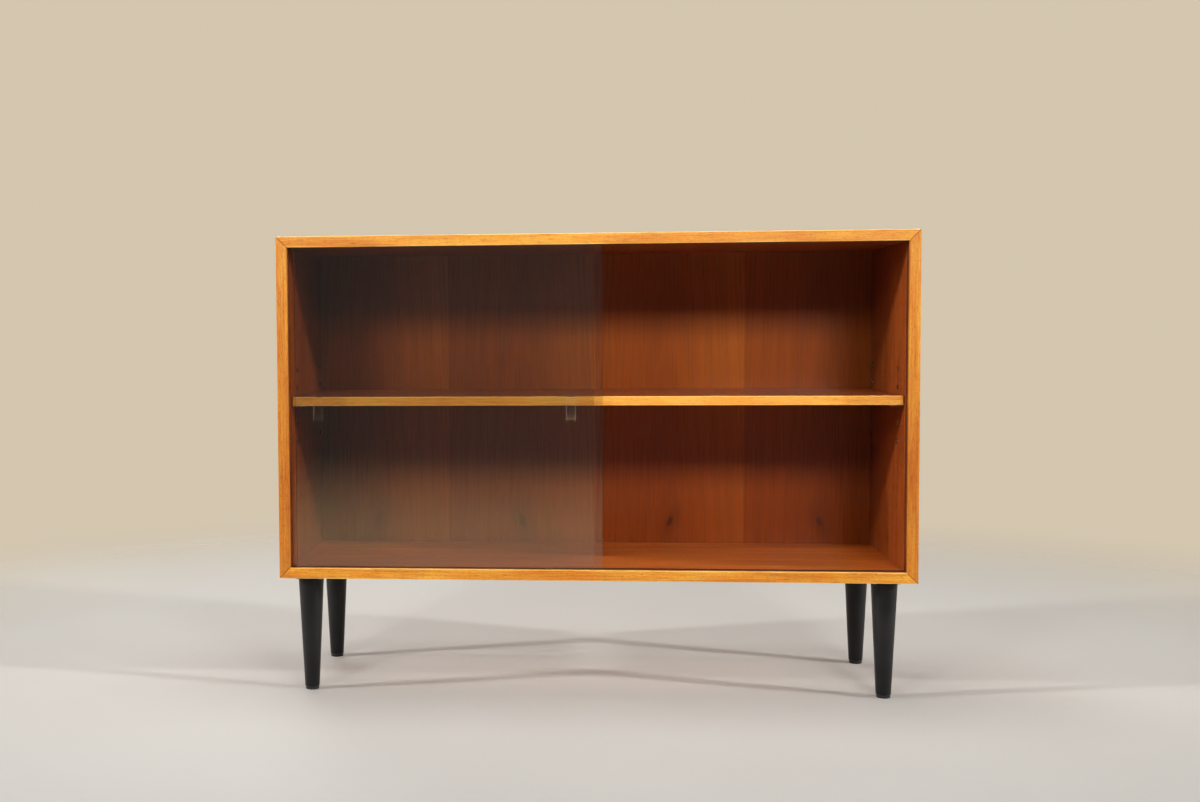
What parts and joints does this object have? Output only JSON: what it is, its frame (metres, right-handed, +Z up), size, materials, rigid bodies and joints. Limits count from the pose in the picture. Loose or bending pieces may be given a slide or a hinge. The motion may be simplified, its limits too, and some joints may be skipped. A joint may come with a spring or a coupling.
{
  "type": "bookcase with sliding glass doors",
  "caption": "Low wooden bookcase with a mitred frame, sliding glass doors in twin tracks, an adjustable shelf on pins and round tapered legs.",
  "frame": {"origin": "middle of the footprint on the floor, under the middle of the case", "axes": "+X to the right as seen from the front, +Y to the back, +Z up; the open front faces -Y"},
  "size_m": [1.1, 0.34, 0.805],
  "materials": {
    "case_veneer": "satin red-brown veneer",
    "back_veneer": "satin book-matched veneer",
    "honey_wood": "satin solid wood lipping",
    "plywood": "bare plywood",
    "track_plastic": "dark brown extruded plastic",
    "clear_glass": "clear float glass with ground edges",
    "pin_steel": "nickel-plated turned steel",
    "sleeve_steel": "nickel-plated sleeve",
    "black_lacquer": "satin black lacquer on turned wood",
    "glide_plastic": "black plastic glide",
    "plate_steel": "zinc-plated steel plate"
  },
  "bodies": {
    "case": {"case_bottom": "case_veneer", "case_top": "case_veneer", "case_side_left": "case_veneer", "case_side_right": "case_veneer", "shelf_board": "case_veneer", "back_panel": "back_veneer", "lipping_bottom": "honey_wood", "lipping_top": "honey_wood", "lipping_left": "honey_wood", "lipping_right": "honey_wood", "shelf_lipping": "honey_wood", "corner_tongue_bottom_left": "plywood", "corner_tongue_bottom_right": "plywood", "corner_tongue_top_left": "plywood", "corner_tongue_top_right": "plywood", "track_bottom": "track_plastic", "track_top": "track_plastic", "side_channel_left": "track_plastic", "side_channel_right": "track_plastic", "shelf_pin_left_front": "pin_steel", "shelf_pin_left_rear": "pin_steel", "shelf_pin_right_front": "pin_steel", "shelf_pin_right_rear": "pin_steel", "pin_sleeve_left_front_1": "sleeve_steel", "pin_sleeve_left_front_2": "sleeve_steel", "pin_sleeve_left_front_3": "sleeve_steel", "pin_sleeve_left_front_4": "sleeve_steel", "pin_sleeve_left_front_5": "sleeve_steel", "pin_sleeve_left_rear_1": "sleeve_steel", "pin_sleeve_left_rear_2": "sleeve_steel", "pin_sleeve_left_rear_3": "sleeve_steel", "pin_sleeve_left_rear_4": "sleeve_steel", "pin_sleeve_left_rear_5": "sleeve_steel", "pin_sleeve_right_front_1": "sleeve_steel", "pin_sleeve_right_front_2": "sleeve_steel", "pin_sleeve_right_front_3": "sleeve_steel", "pin_sleeve_right_front_4": "sleeve_steel", "pin_sleeve_right_front_5": "sleeve_steel", "pin_sleeve_right_rear_1": "sleeve_steel", "pin_sleeve_right_rear_2": "sleeve_steel", "pin_sleeve_right_rear_3": "sleeve_steel", "pin_sleeve_right_rear_4": "sleeve_steel", "pin_sleeve_right_rear_5": "sleeve_steel", "leg_front_left": "black_lacquer", "leg_front_right": "black_lacquer", "leg_rear_left": "black_lacquer", "leg_rear_right": "black_lacquer", "leg_glide_front_left": "glide_plastic", "leg_glide_front_right": "glide_plastic", "leg_glide_rear_left": "glide_plastic", "leg_glide_rear_right": "glide_plastic", "leg_plate_front_left": "plate_steel", "leg_plate_front_right": "plate_steel", "leg_plate_rear_left": "plate_steel", "leg_plate_rear_right": "plate_steel"},
    "door_left": {"door_pane_left": "clear_glass"},
    "door_right": {"door_pane_right": "clear_glass"}
  },
  "joints": [
    {"name": "door_left_slide", "type": "slide", "parent": "case", "child": "door_left", "axis": [1, 0, 0], "range_m": [-0.001, 0.534]},
    {"name": "door_right_slide", "type": "slide", "parent": "case", "child": "door_right", "axis": [1, 0, 0], "range_m": [-0.0155, 0.5185]}
  ]
}
